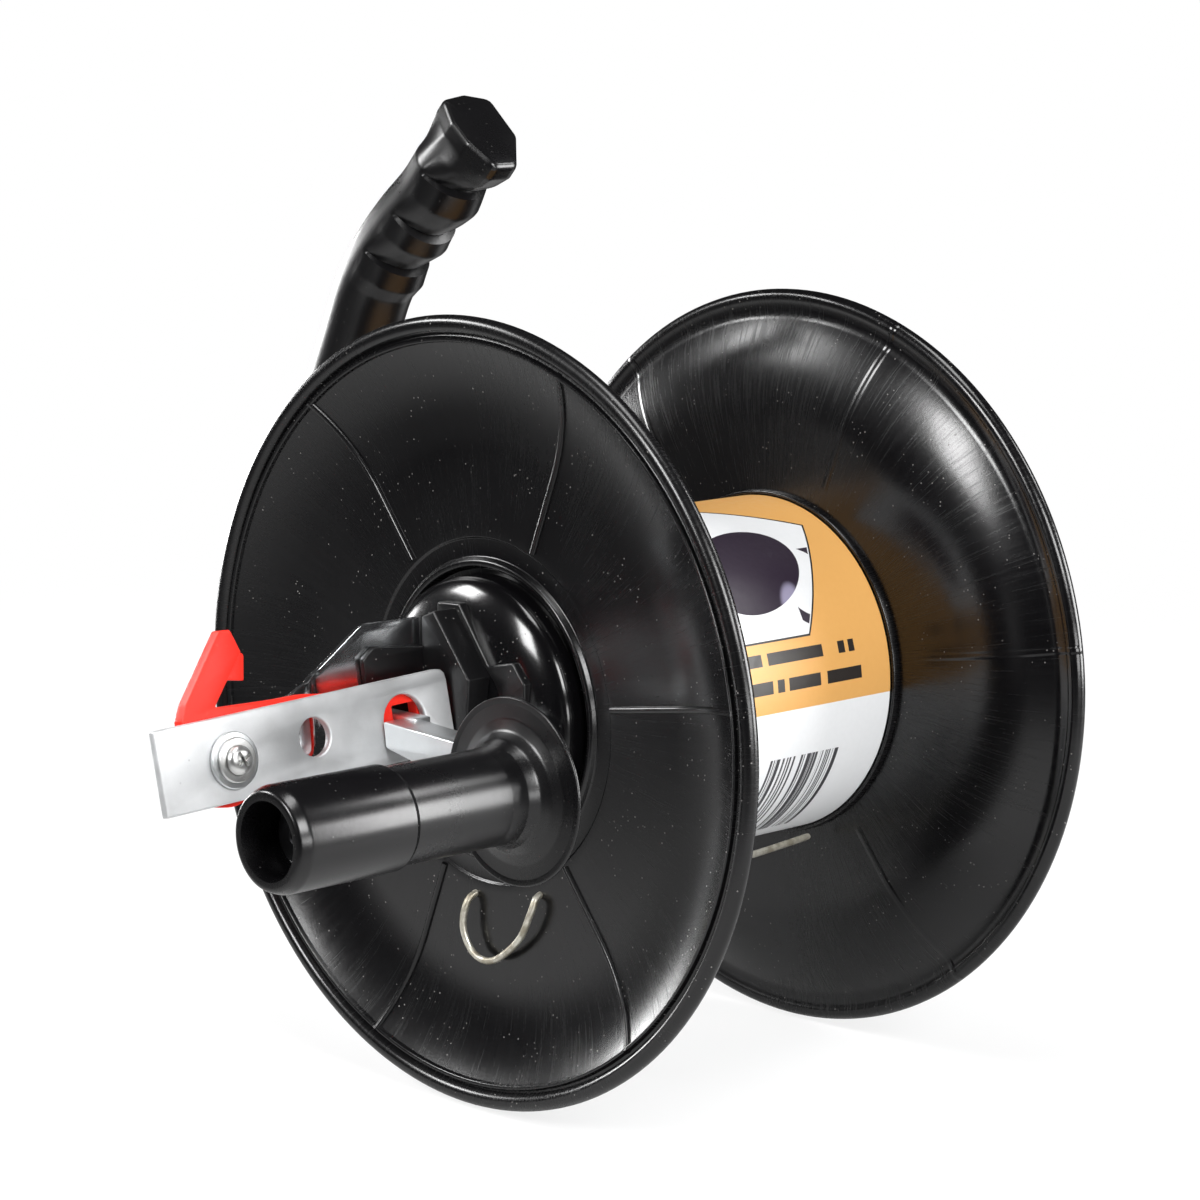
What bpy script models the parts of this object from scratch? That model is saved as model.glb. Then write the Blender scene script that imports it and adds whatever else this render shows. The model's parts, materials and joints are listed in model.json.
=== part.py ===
"""Hand reel for fence wire: a crank-driven spool turning on an axle held by a side arm and a grip.

The reel's axis is X. The origin is on that axis, on the outer face of the side arm's boss, and the
spool lies on the -X side of it with the crank farthest out. Sizes are in metres.
"""

from math import cos, pi, radians, sin, sqrt

import bmesh
import bpy
from mathutils import Matrix, Vector

MM = 0.001
GAP = 0.3 * MM

# Spool. Heights along the axis are measured from the drum's middle.
FACE_X = 110 * MM          # from the drum's middle to the outer face of the arm's boss
WEB = 2.5 * MM             # wall of the flanges, the drum and the cap
WEB_OUT = 69.9 * MM        # outer face of a flange where it is flat
FLARE_FROM = 88 * MM       # radius where the flat ends and the flare begins
FLARE_BEND = 69.4 * MM     # radius of the flare's bend
FLARE_TO = 126.5 * MM
BEAD_R = 3.2 * MM
BEAD_AT = (80 * MM, 130.3 * MM)      # height and radius of the rim's rolled bead
DRUM_R = 59.9 * MM
HUB_BORE = 9 * MM
HUB_END = 50 * MM
HUB_R = 14 * MM
LIP = (48.6 * MM, 51.6 * MM, 71.5 * MM)     # inner radius, outer radius and top of the hub's lip
RECESS = 68 * MM
STEP_R = 58.7 * MM
SLEEVE_R = 60.2 * MM
SLEEVE_END = 64.6 * MM
ROUND = 48
BOLT_R = 2.5 * MM
BOLT_HEAD_R = 4.6 * MM
BOLT_SPOTS = [(34 * MM * cos(radians(a)), 34 * MM * sin(radians(a))) for a in (90, 210, 330)]
WIRE_R = 1.2 * MM
WIRE_HOLES = [(6.6 * MM, -63.6 * MM), (-25.2 * MM, -58.6 * MM)]
NEAR_HUB = [(RECESS, HUB_BORE), (RECESS, LIP[0]), (LIP[2], LIP[0]), (LIP[2], LIP[1]),
            (WEB_OUT - 0.7 * MM, LIP[1]), (WEB_OUT - 0.7 * MM, STEP_R), (WEB_OUT, STEP_R)]
FAR_HUB = [(RECESS, HUB_BORE), (RECESS, 52 * MM), (WEB_OUT, 54 * MM)]

# Hub cap
CAP_R = 46.3 * MM
CAP_SHOULDER = 74.3 * MM
CAP_TOP = 86 * MM

# Axle and the frame that carries it
AXLE_R = 6 * MM
AXLE_FROM, AXLE_TO = -78 * MM, 104 * MM
PIN_X, PIN_R = 81 * MM, 2 * MM
BOSS_R = 24 * MM
BOSS_FROM = 73 * MM
TUBE_R = 11.5 * MM
TENON_R = 8 * MM
GRIP_SCREW_R = 2.1 * MM
ARM_ROUTE = [(97, 0, 0), (97, 60, 7), (97, 112, 14), (95, 145, 19), (82, 170, 27),
             (52, 181, 38), (22, 176, 52), (5, 167, 70), (0, 159, 87)]
GRIP_ROUTE = [(157.4, 91.2), (147, 113), (138.8, 130.4), (128.9, 143.7), (117.4, 155.1),
              (103.5, 166.4), (94, 176.5), (82.5, 188.8)]
GRIP_HALF = 14.5 * MM
GRIP_END = Vector((0, -0.66, 0.75)).normalized()     # the way the pommel's end faces
POMMEL_HALF = (15 * MM, 20 * MM)

# Crank: the plate and the latch lie in a plane that leans back about X and rises toward the hub.
LEAN = radians(10.6)
RISE = radians(2.3)
PIVOT_X = -186.4 * MM
PLATE_FRONT = 10.5 * MM
PLATE_T = 3 * MM
PLATE_BOX = (-28 * MM, 91.6 * MM, -13 * MM, 14.1 * MM)
PLATE_HOLE = (33.7 * MM, 1.3 * MM, 6.25 * MM)
PLATE_EYE = (71.4 * MM, -0.2 * MM, 8.75 * MM)
LEVER_T = 4.3 * MM
STRAP_T = 2 * MM
STRAP_Y = 7.6 * MM
STRAP_BEND = (-137.3, -148)     # where the joggle starts and ends, in millimetres
SCREW_R = 2.1 * MM

ARM_X = -125 * MM
ARM_T = 2.7 * MM
ARM_DEPTH = 12.4 * MM
KNOB_AT = (-76.1 * MM, -6.5 * MM)
GUARD_X = -128.5 * MM
KNOB_END = -226.1 * MM
GUARD_R = 29.8 * MM
KNOB_R = 16.4 * MM
SPINDLE_R = 4 * MM
ARM_PIN_R = 1.5 * MM
ARM_PIN_AT = (-112.9 * MM, 1.5 * MM)

BLOCK_OUT, BLOCK_MID, BLOCK_FOOT = -94 * MM, -84.5 * MM, -72 * MM

BLACK = ("black plastic", (0.012, 0.012, 0.013), 0.35, 0.0)
ZINC = ("zinc plate", (0.62, 0.64, 0.66), 0.32, 1.0)
STEEL = ("bright steel", (0.55, 0.55, 0.56), 0.25, 1.0)
RED = ("red plastic", (0.80, 0.045, 0.02), 0.35, 0.0)
PAPER = ("label paper", (0.72, 0.42, 0.12), 0.45, 0.0)
BRONZE = ("bearing bronze", (0.45, 0.28, 0.12), 0.4, 1.0)
NYLON = ("white nylon", (0.75, 0.74, 0.70), 0.5, 0.0)
WIRE = ("galvanised wire", (0.50, 0.48, 0.42), 0.45, 1.0)


def clear_scene():
    for thing in list(bpy.data.objects):
        bpy.data.objects.remove(thing)


def collection(name):
    made = bpy.data.collections.new(name)
    bpy.context.scene.collection.children.link(made)
    return made


def material(spec):
    name, colour, rough, metal = spec
    made = bpy.data.materials.get(name)
    if made is None:
        made = bpy.data.materials.new(name)
        made.use_nodes = True
        shader = made.node_tree.nodes["Principled BSDF"]
        shader.inputs["Base Color"].default_value = (*colour, 1)
        shader.inputs["Roughness"].default_value = rough
        shader.inputs["Metallic"].default_value = metal
    return made


def empty(name, matrix, parent=None):
    made = bpy.data.objects.new(name, None)
    guides.objects.link(made)
    made.parent = parent
    made.matrix_local = matrix
    return made


def place(name, data, spec, parent, matrix=None):
    """A named piece with its material, under its parent."""
    made = bpy.data.objects.new(name, data)
    (parts if spec else guides).objects.link(made)
    made.parent = parent
    if matrix is not None:
        made.matrix_local = matrix
    if spec:
        data.materials.append(material(spec))
    else:
        made.hide_render = True
        made.display_type = "WIRE"
    return made


def mesh_of(work, name):
    bmesh.ops.recalc_face_normals(work, faces=work.faces)
    data = bpy.data.meshes.new(name)
    work.to_mesh(data)
    work.free()
    data.shade_smooth()
    data.set_sharp_from_angle(angle=radians(35))
    return data


def turned(name, profile, spec, parent, steps=ROUND, along=None):
    """A profile of (place along the axis, radius) turned about X, or about a matrix's own Z."""
    area = sum(a[0] * b[1] - b[0] * a[1] for a, b in zip(profile, profile[1:] + profile[:1]))
    points = profile if area > 0 else profile[::-1]
    closed = min(r for _, r in profile) > 0
    count = len(points)
    edges = [(i, (i + 1) % count) for i in range(count if closed else count - 1)]
    if not closed:
        start = next(i for i in range(count) if points[i][1] == 0 and points[i - 1][1] == 0)
        points = points[start:] + points[:start]
    data = bpy.data.meshes.new(name)
    data.from_pydata([(r, 0, x) for x, r in points], edges, [])
    made = place(name, data, spec, parent, along or Matrix.Rotation(pi / 2, 4, "Y"))
    screw = made.modifiers.new("turn", "SCREW")
    screw.axis = "Z"
    screw.steps = screw.render_steps = steps
    screw.use_merge_vertices = True
    screw.merge_threshold = 0.00001
    screw.use_smooth_shade = True
    return made


def ring(inner, outer, low, high):
    return [(low, inner), (high, inner), (high, outer), (low, outer)]


def nut(bore, outer, low, high):
    """A six-sided ring whose flats just clear a shank of the bore's radius."""
    return ring((bore + GAP) / cos(pi / 6), outer, low, high)


def rod(radius, low, high):
    return [(low, 0), (low, radius), (high, radius), (high, 0)]


def flat(name, outline, low, high, spec, parent, matrix, holes=()):
    """An outline, with holes, as a plate from low to high along the matrix's Z."""
    curve = bpy.data.curves.new(name, "CURVE")
    curve.dimensions = "2D"
    curve.fill_mode = "BOTH"
    curve.extrude = (high - low) / 2
    for points in (outline, *holes):
        spline = curve.splines.new("POLY")
        spline.points.add(len(points) - 1)
        for knot, (x, y) in zip(spline.points, points):
            knot.co = (x, y, 0, 1)
        spline.use_cyclic_u = True
    return as_mesh(place(name, curve, spec, parent,
                         matrix @ Matrix.Translation((0, 0, (low + high) / 2))))


def as_mesh(curve_piece):
    """The same piece as a mesh with its caps joined on."""
    name, spec_slots = curve_piece.name, list(curve_piece.data.materials)
    bpy.context.view_layer.update()
    seen = curve_piece.evaluated_get(bpy.context.evaluated_depsgraph_get())
    data = bpy.data.meshes.new_from_object(seen)
    work = bmesh.new()
    work.from_mesh(data)
    bmesh.ops.remove_doubles(work, verts=work.verts, dist=0.000001)
    bmesh.ops.recalc_face_normals(work, faces=work.faces)
    work.to_mesh(data)
    work.free()
    data.materials.clear()
    for slot in spec_slots:
        data.materials.append(slot)
    home, parent = curve_piece.users_collection[0], curve_piece.parent
    matrix = curve_piece.matrix_local.copy()
    shown = curve_piece.hide_render, curve_piece.display_type
    bpy.data.objects.remove(curve_piece)
    made = bpy.data.objects.new(name, data)
    home.objects.link(made)
    made.parent = parent
    made.matrix_local = matrix
    made.hide_render, made.display_type = shown
    return made


def box(name, low, high, spec, parent, matrix=None):
    work = bmesh.new()
    size = [b - a for a, b in zip(low, high)]
    middle = [(a + b) / 2 for a, b in zip(low, high)]
    bmesh.ops.create_cube(work, size=1, matrix=Matrix.Translation(middle) @ Matrix.Diagonal((*size, 1)))
    return place(name, mesh_of(work, name), spec, parent, matrix)


def combine(piece, tool, operation):
    change = piece.modifiers.new(operation.lower(), "BOOLEAN")
    change.operation = operation
    change.object = tool
    change.solver = "EXACT"
    return piece


def cut(piece, tool):
    return combine(piece, tool, "DIFFERENCE")


def join(piece, tool):
    return combine(piece, tool, "UNION")


def circle(middle, radius, count, start=0.0, sweep=2 * pi):
    """Points on a circle or an arc; an arc has both its ends."""
    whole = abs(sweep - 2 * pi) < 1e-6
    steps = count if whole else count - 1
    return [(middle[0] + radius * cos(start + sweep * i / steps),
             middle[1] + radius * sin(start + sweep * i / steps)) for i in range(count)]


def smooth_route(points, spacing):
    """Points read from a Catmull-Rom curve through the given ones."""
    knots = [Vector(p) * MM for p in points]
    ends = [2 * knots[0] - knots[1], *knots, 2 * knots[-1] - knots[-2]]
    route = []
    for a, b, c, d in zip(ends, ends[1:], ends[2:], ends[3:]):
        steps = max(1, round((c - b).length / spacing))
        for i in range(steps):
            t = i / steps
            route.append(0.5 * (2 * b + (c - a) * t + (2 * a - 5 * b + 4 * c - d) * t * t
                                + (3 * b - a - 3 * c + d) * t ** 3))
    return route + [knots[-1]]


def tube(name, route, radii, resolution, spec, parent):
    curve = bpy.data.curves.new(name, "CURVE")
    curve.dimensions = "3D"
    curve.bevel_depth = 1
    curve.bevel_resolution = resolution
    curve.use_fill_caps = True
    spline = curve.splines.new("POLY")
    spline.points.add(len(route) - 1)
    for knot, point, radius in zip(spline.points, route, radii):
        knot.co = (*point, 1)
        knot.radius = radius
    return as_mesh(place(name, curve, spec, parent))


def web_face(radius):
    """Height of a flange's outer face: flat, then a flare that bends outward."""
    if radius <= FLARE_FROM:
        return WEB_OUT
    return WEB_OUT + FLARE_BEND - sqrt(FLARE_BEND ** 2 - (radius - FLARE_FROM) ** 2)


def flare(offset, steps=5):
    spots = [FLARE_FROM + (FLARE_TO - FLARE_FROM) * i / steps for i in range(steps + 1)]
    return [(web_face(r) - offset, r) for r in spots]


def flange_profile(hub):
    """Outer face from the hub outward, round the rim's bead, and back along the inner face."""
    bead = [(h, r) for r, h in circle(BEAD_AT[::-1], BEAD_R, 7, radians(135), radians(-270))]
    inner = flare(WEB)[::-1]
    sleeve = [(WEB_OUT - WEB, 56 * MM), (RECESS - WEB, 54 * MM), (RECESS - WEB, HUB_R),
              (HUB_END, HUB_R), (HUB_END, HUB_BORE)]
    return hub + flare(0) + bead + inner + sleeve


def across(y, z):
    """The X axis moved to (y, z)."""
    return Matrix.Translation((0, y, z)) @ Matrix.Rotation(pi / 2, 4, "Y")


def upright(x, y):
    """The Z axis moved to (x, y)."""
    return Matrix.Translation((x, y, 0))


def hub_cap_profile():
    """A domed shell, open toward the flange."""
    outer = [(CAP_SHOULDER + (CAP_TOP - CAP_SHOULDER) * sin(a), CAP_R * cos(a))
             for a in (radians(d) for d in (0, 14, 28, 42, 56, 72, 90))]
    inner = [(CAP_SHOULDER + (CAP_TOP - WEB - CAP_SHOULDER) * sin(a), (CAP_R - WEB) * cos(a))
             for a in (radians(d) for d in (90, 66, 42, 20, 0))]
    inner[0], outer[-1] = (inner[0][0], 0), (outer[-1][0], 0)
    base = RECESS + GAP
    return [*outer[::-1], (base, CAP_R), (base, CAP_R - WEB), *inner[::-1]]


def mirrored(profile):
    return [(-h, r) for h, r in profile]


def place_spool():
    near = turned("near_flange", mirrored(flange_profile(NEAR_HUB)), BLACK, reel)
    far = turned("far_flange", flange_profile(FAR_HUB), BLACK, reel)
    for y, z in BOLT_SPOTS:
        hole = turned("bolt_hole", rod(BOLT_R + 2 * GAP, -80 * MM, 80 * MM), None, reel, 16, across(y, z))
        cut(near, hole)
        cut(far, hole)
    for y, z in WIRE_HOLES:
        cut(near, turned("wire_hole", rod(WIRE_R + 3 * GAP, -75 * MM, -62 * MM), None, reel, 12,
                         across(y, z)))
    end = WEB_OUT - WEB - GAP
    turned("drum", ring(DRUM_R - WEB, DRUM_R, -end, end), BLACK, reel)
    turned("label_sleeve", ring(SLEEVE_R, SLEEVE_R + GAP, -SLEEVE_END, SLEEVE_END), PAPER, reel)
    turned("hub_cap", mirrored(hub_cap_profile()), BLACK, reel, 40)
    for name, side in (("near_bushing", -1), ("far_bushing", 1)):
        body = ring(AXLE_R + GAP, HUB_BORE - GAP, HUB_END, RECESS)
        turned(name, [(side * h, r) for h, r in body], BRONZE, reel, 32)
    for number, (y, z) in enumerate(BOLT_SPOTS, 1):
        head = -RECESS - GAP
        shank_end = RECESS + 3 * MM
        bolt = [(head - 2.6 * MM, 0), (head - 2.6 * MM, 3.2 * MM), (head - 1.2 * MM, BOLT_HEAD_R),
                (head, BOLT_HEAD_R), (head, BOLT_R), (shank_end, BOLT_R), (shank_end, 0)]
        turned(f"tie_bolt_{number}", bolt, STEEL, reel, 16, across(y, z))
        turned(f"tie_nut_{number}", nut(BOLT_R, BOLT_HEAD_R, RECESS + GAP, RECESS + 2.4 * MM), STEEL,
               reel, 6, across(y, z))


def place_axle():
    """The axle stands still in the frame's boss; its near end is held by a washer and a nut."""
    axle = turned("axle", rod(AXLE_R, AXLE_FROM, AXLE_TO), STEEL, reel, 32)
    cut(axle, turned("pin_hole", rod(PIN_R + GAP, -30 * MM, 30 * MM), None, reel, 16, upright(PIN_X, 0)))
    turned("axle_pin", rod(PIN_R, -BOSS_R - 1 * MM, BOSS_R + 1 * MM), STEEL, reel, 16, upright(PIN_X, 0))
    turned("axle_washer", ring(AXLE_R + GAP, 13 * MM, -69.9 * MM, -68.3 * MM), ZINC, reel, 32)
    turned("axle_nut", nut(AXLE_R, 10.5 * MM, -76.2 * MM, -70.2 * MM), ZINC, reel, 6)
    turned("thrust_washer", ring(AXLE_R + GAP, 21 * MM, WEB_OUT + GAP, BOSS_FROM - GAP), NYLON, reel, 32)


def place_frame():
    """A side arm from the boss, outside the rims, that ends as a tenon inside the grip."""
    route = smooth_route(ARM_ROUTE, 9 * MM)
    grip = smooth_route([(0, y, z) for y, z in GRIP_ROUTE], 7 * MM)
    onward = (grip[1] - grip[0]).normalized()
    tenon = [grip[0] - onward * 0.9 * MM, grip[0] - onward * 0.6 * MM, grip[1], grip[2], grip[3]]
    radii = [TUBE_R] * len(route) + [TUBE_R] + [TENON_R] * 4
    arm = tube("frame_arm", route + tenon, radii, 3, BLACK, reel)
    join(arm, turned("boss", rod(BOSS_R, BOSS_FROM, FACE_X), None, reel, 40))
    cut(arm, turned("axle_bore", rod(AXLE_R + GAP, BOSS_FROM - 5 * MM, AXLE_TO + GAP), None, reel, 32))
    cut(arm, turned("pin_bore", rod(PIN_R + GAP, -40 * MM, 40 * MM), None, reel, 16, upright(PIN_X, 0)))
    handle = place("pistol_grip", grip_mesh(grip), BLACK, reel)
    socket_end = grip[3] + (grip[3] - grip[2]).normalized() * 2 * MM
    socket = [grip[0] - (grip[1] - grip[0]), grip[1], grip[2], socket_end]
    cut(handle, tube("socket", socket, [TENON_R + 2 * GAP] * 4, 3, None, reel))
    screw_spot = grip[2]
    for piece in (arm, handle):
        cut(piece, turned("screw_hole", rod(GRIP_SCREW_R + GAP, -30 * MM, 30 * MM), None, reel, 12,
                          across(screw_spot.y, screw_spot.z)))
    turned("grip_screw", rod(GRIP_SCREW_R, -13 * MM, 13 * MM), STEEL, reel, 12,
           across(screw_spot.y, screw_spot.z))


def grip_mesh(route):
    """A round handle that widens at its end into an oval pommel."""
    work = bmesh.new()
    count, rings = 16, []
    for i, point in enumerate(route):
        toward = GRIP_END if i == len(route) - 1 else (route[i + 1] - route[max(i - 1, 0)]).normalized()
        outward = Vector((1, 0, 0)).cross(toward)
        from_end = (route[-1] - point).length
        grown = max(0.0, 1 - max(from_end - 8 * MM, 0) / (16 * MM))
        wide = GRIP_HALF + (POMMEL_HALF[0] - GRIP_HALF) * grown
        deep = GRIP_HALF + (POMMEL_HALF[1] - GRIP_HALF) * grown
        rings.append([work.verts.new(point + Vector((1, 0, 0)) * wide * x + outward * deep * y)
                      for x, y in circle((0, 0), 1, count)])
    tip = [vert.co.copy() for vert in rings[-1]]
    middle = route[-1]
    rings.append([work.verts.new(middle + GRIP_END * 2.5 * MM + (spot - middle) * 0.86) for spot in tip])
    for low, high in zip(rings, rings[1:]):
        for i in range(count):
            j = (i + 1) % count
            work.faces.new((low[i], low[j], high[j], high[i]))
    work.faces.new(rings[0])
    work.faces.new(rings[-1])
    return mesh_of(work, "pistol_grip")


def place_block():
    """The moulded drive block on the hub cap, with a thin wall that stands out behind the plate's end."""
    side = Matrix.Rotation(pi / 2, 4, "Z") @ Matrix.Rotation(pi / 2, 4, "X")
    outer = [(6, 34.5), (0, 37), (-17, 16), (-16, 2), (-11, -9), (6, -9)]
    lower = [(9, 38), (-2, 38.5), (-16.5, 19.5), (-28, 22), (-33.5, 15.5), (-33.5, -6), (-12, -16),
             (9, -16)]
    block = flat("crank_block", [(y * MM, z * MM) for y, z in outer], BLOCK_OUT, BLOCK_MID, BLACK, reel,
                 side)
    join(block, flat("block_base", [(y * MM, z * MM) for y, z in lower], BLOCK_MID - 0.01 * MM, BLOCK_FOOT,
                     None, reel, side))
    facing = Matrix.Rotation(pi / 2, 4, "X")
    wall = [(-92, 24.1), (-116.6, 26.7), (-120, 23.1), (-120, -8), (-92, -8)]
    join(block, flat("block_wall", [(x * MM, z * MM) for x, z in wall], -7.4 * MM, -5.2 * MM, None, reel,
                     facing))
    cap = mirrored([(RECESS - 5 * MM, 0), (RECESS - 5 * MM, CAP_R + GAP)]
                   + [(CAP_SHOULDER + (CAP_TOP + GAP - CAP_SHOULDER) * sin(radians(a)),
                       (CAP_R + GAP) * cos(radians(a))) for a in (0, 14, 28, 42, 56, 72)]
                   + [(CAP_TOP + GAP, 0)])
    cut(block, turned("cap_clearance", cap, None, reel, 40))
    cut(block, box("lever_pocket", (-96 * MM, -8.6 * MM, -6 * MM), (-88.4 * MM, 2.6 * MM, 28 * MM), None,
                   reel))


def strap_mesh():
    """A sprung strap: flat beside the block, then joggled forward to lie behind the lever."""
    stations = [(-93.4, 8, 34), (-118, 8, 34.3), (-130, 5, 26.3), (-137.3, 2, 21.2), (-148, -3, 19.6),
                (-158, -7, 15.6), (-176, -9.5, 10.5)]
    end_x, end_r = PIVOT_X / MM, 10
    stations += [(end_x - end_r * cos(a), -end_r * sin(a), end_r * sin(a))
                 for a in (radians(d) for d in (100, 70, 45, 20))]
    behind = PLATE_FRONT - PLATE_T - LEVER_T - 2 * GAP
    work = bmesh.new()
    rows = []
    for x, low, high in stations:
        bent = min(1, max(0, (STRAP_BEND[0] - x) / (STRAP_BEND[0] - STRAP_BEND[1])))
        row = []
        for z in (low * MM, high * MM):
            level = (z * sin(LEAN) - behind) / cos(LEAN)
            row.append(work.verts.new((x * MM, STRAP_Y + (level - STRAP_Y) * bent, z)))
        rows.append(row)
    for a, b in zip(rows, rows[1:]):
        work.faces.new((a[0], a[1], b[1], b[0]))
    return mesh_of(work, "rear_strap")


def place_crank_plates():
    """Everything stacked on the latch screw: plate, lever and strap, in the leaning plane."""
    left, right, low, high = PLATE_BOX
    holes = [circle((0, 0), SCREW_R + GAP, 16), circle(PLATE_HOLE[:2], PLATE_HOLE[2], 24),
             circle(PLATE_EYE[:2], PLATE_EYE[2], 28)]
    corner = 3.5 * MM
    outline = [(left, low), (right, low), *circle((right - corner, high - corner), corner, 4, 0, pi / 2),
               (left, high)]
    flat("hook_plate", outline, PLATE_FRONT - PLATE_T, PLATE_FRONT, ZINC, latch, Matrix(), holes)

    front = PLATE_FRONT - PLATE_T - GAP
    hub = circle((0, 0), 14.6 * MM, 9, radians(-75), radians(-105))
    blade = [(-14.3, 14.8), (-11.8, 19.7), (5.8, 40.1), (9.7, 39.7), (12.2, 32.4), (-1, 16.9), (24, 15.4),
             (34, 15.2), (60, 11.5), (94.8, 8.5), (96.2, -7.9), (86, -7.9)]
    slot = [(79.6, -5), (79.6, 5.1), (69.4, 5.1), (69.4, -5), (50, -9)]
    lever = [*hub, *[(p * MM, q * MM) for p, q in blade + slot]]
    flat("latch_lever", lever, front - LEVER_T, front, RED, latch, Matrix(),
         [circle((0, 0), SCREW_R + GAP, 16), circle(PLATE_HOLE[:2], PLATE_HOLE[2] + 1.2 * MM, 20)])

    strap = place("rear_strap", strap_mesh(), ZINC, reel)
    wall = strap.modifiers.new("wall", "SOLIDIFY")
    wall.thickness = STRAP_T
    wall.offset = -1
    cut(strap, turned("strap_hole", rod(SCREW_R + 2 * GAP, -12 * MM, 12 * MM), None, latch, 16, Matrix()))

    top = PLATE_FRONT + GAP
    turned("latch_washer", ring(SCREW_R + GAP, 9 * MM, top, top + 1.3 * MM), ZINC, latch, 28, Matrix())
    turned("lock_washer", ring(SCREW_R + GAP, 7.2 * MM, top + 1.6 * MM, top + 2.6 * MM), ZINC, latch, 28,
           Matrix())
    head = top + 2.9 * MM
    back = front - LEVER_T - STRAP_T - 3 * GAP
    screw = [(back - 6 * MM, 0), (back - 6 * MM, SCREW_R), (head, SCREW_R), (head, 5 * MM),
             (head + 1.6 * MM, 4.4 * MM), (head + 2.8 * MM, 2.6 * MM), (head + 3.1 * MM, 0)]
    turned("latch_screw", screw, STEEL, latch, 24, Matrix())
    turned("latch_nut", nut(SCREW_R, 4.6 * MM, back - 4 * MM, back - GAP), ZINC, latch, 6, Matrix())


def place_crank():
    """The crank arm, its tongue through the plate, and the knob that turns on its spindle."""
    side = Matrix.Rotation(pi / 2, 4, "Z") @ Matrix.Rotation(pi / 2, 4, "X")
    y, z = KNOB_AT
    eye = circle((y, z), 9 * MM, 9, radians(80), radians(200))
    web = [(-11.6 * MM, -2.8 * MM), (-10.4 * MM, 5.7 * MM), *eye]
    arm = flat("crank_arm", web, ARM_X, ARM_X + ARM_T, ZINC, reel, side)
    drop = Matrix.Translation((0, -10.8 * MM, 5.7 * MM)) @ Matrix.Rotation(radians(3.6), 4, "X")
    join(arm, box("arm_shelf", (ARM_X + 0.1 * MM, -52 * MM, -2.4 * MM), (ARM_X + ARM_DEPTH, 0, 0), None,
                  reel, drop))
    join(arm, box("arm_tongue", (-116.3 * MM, -16 * MM, -0.5 * MM), (-109.5 * MM, 4.9 * MM, 6.2 * MM), None,
                  reel))
    cut(arm, turned("pin_hole", rod(ARM_PIN_R + GAP, -10 * MM, 20 * MM), None, reel, 12,
                    upright(*ARM_PIN_AT)))
    cut(arm, turned("spindle_hole", rod(SPINDLE_R + GAP, -130 * MM, -115 * MM), None, knob, 24))
    turned("arm_pin", rod(ARM_PIN_R, -6 * MM, 8.4 * MM), STEEL, reel, 12, upright(*ARM_PIN_AT))

    bore = SPINDLE_R + GAP
    guard_back = ARM_X - 2 * GAP
    outside = [(guard_back, 26 * MM), (GUARD_X + 0.8 * MM, GUARD_R), (GUARD_X, GUARD_R - 0.5 * MM),
               (GUARD_X + 0.2 * MM, 25 * MM), (GUARD_X - 1.5 * MM, 19 * MM), (GUARD_X - 6 * MM, 16.2 * MM),
               (GUARD_X - 14 * MM, 15.2 * MM), (-181 * MM, 15.2 * MM), (-182.5 * MM, KNOB_R),
               (KNOB_END + 5 * MM, KNOB_R), (KNOB_END + 1.2 * MM, 15.4 * MM), (KNOB_END, 13.6 * MM)]
    inside = [(KNOB_END, 11.8 * MM), (KNOB_END + 14 * MM, 11 * MM), (KNOB_END + 14 * MM, bore),
              (guard_back, bore)]
    turned("crank_knob", outside + inside, BLACK, knob, 36)
    tip = KNOB_END + 13.7 * MM
    spindle = [(tip - 4 * MM, 0), (tip - 4 * MM, 6.5 * MM), (tip, 7 * MM), (tip, SPINDLE_R),
               (-111 * MM, SPINDLE_R), (-111 * MM, 0)]
    turned("knob_spindle", spindle, STEEL, knob, 24)
    turned("spindle_nut", nut(SPINDLE_R, 7.5 * MM, ARM_X + ARM_T + GAP, -116 * MM), ZINC, knob, 6)


def place_tie_wire():
    """A loose loop through the near flange, whose long leg lies along the drum."""
    points = [(-50, 6, -64.2), (-62, 6.5, -63.7), (-70.5, 6.6, -63.7), (-74, 7.3, -67.5), (-74.6, 7.7, -76),
              (-74, 2.7, -83.6), (-74.4, -7.3, -83.6), (-74.6, -19.8, -74.3), (-74.2, -25.6, -63.5),
              (-70.6, -25.3, -58.8), (-60, -25.3, -58.9), (-30, -26.6, -60.9), (0, -27.4, -61.6),
              (30, -27.5, -61), (52, -27, -59.8), (60, -26.5, -59.4)]
    route = smooth_route(points, 5 * MM)
    tube("tie_wire", route, [WIRE_R] * len(route), 2, WIRE, reel)


clear_scene()
parts = collection("wire_reel")
guides = collection("cutters")
reel = empty("reel_axis", Matrix.Translation((-FACE_X, 0, 0)))
knob = empty("knob_axis", Matrix.Translation((0, *KNOB_AT)), reel)
latch = empty("latch_axis", Matrix.Translation((PIVOT_X, 0, 0)) @ Matrix.Rotation(pi / 2 - LEAN, 4, "X")
              @ Matrix.Rotation(RISE, 4, "Z"), reel)
place_spool()
place_axle()
place_frame()
place_block()
place_crank_plates()
place_crank()
place_tie_wire()
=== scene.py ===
import json
from math import asin, cos, degrees, pi, radians, sin, sqrt, tan

import bmesh
import bpy
from mathutils import Matrix, Vector


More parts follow.
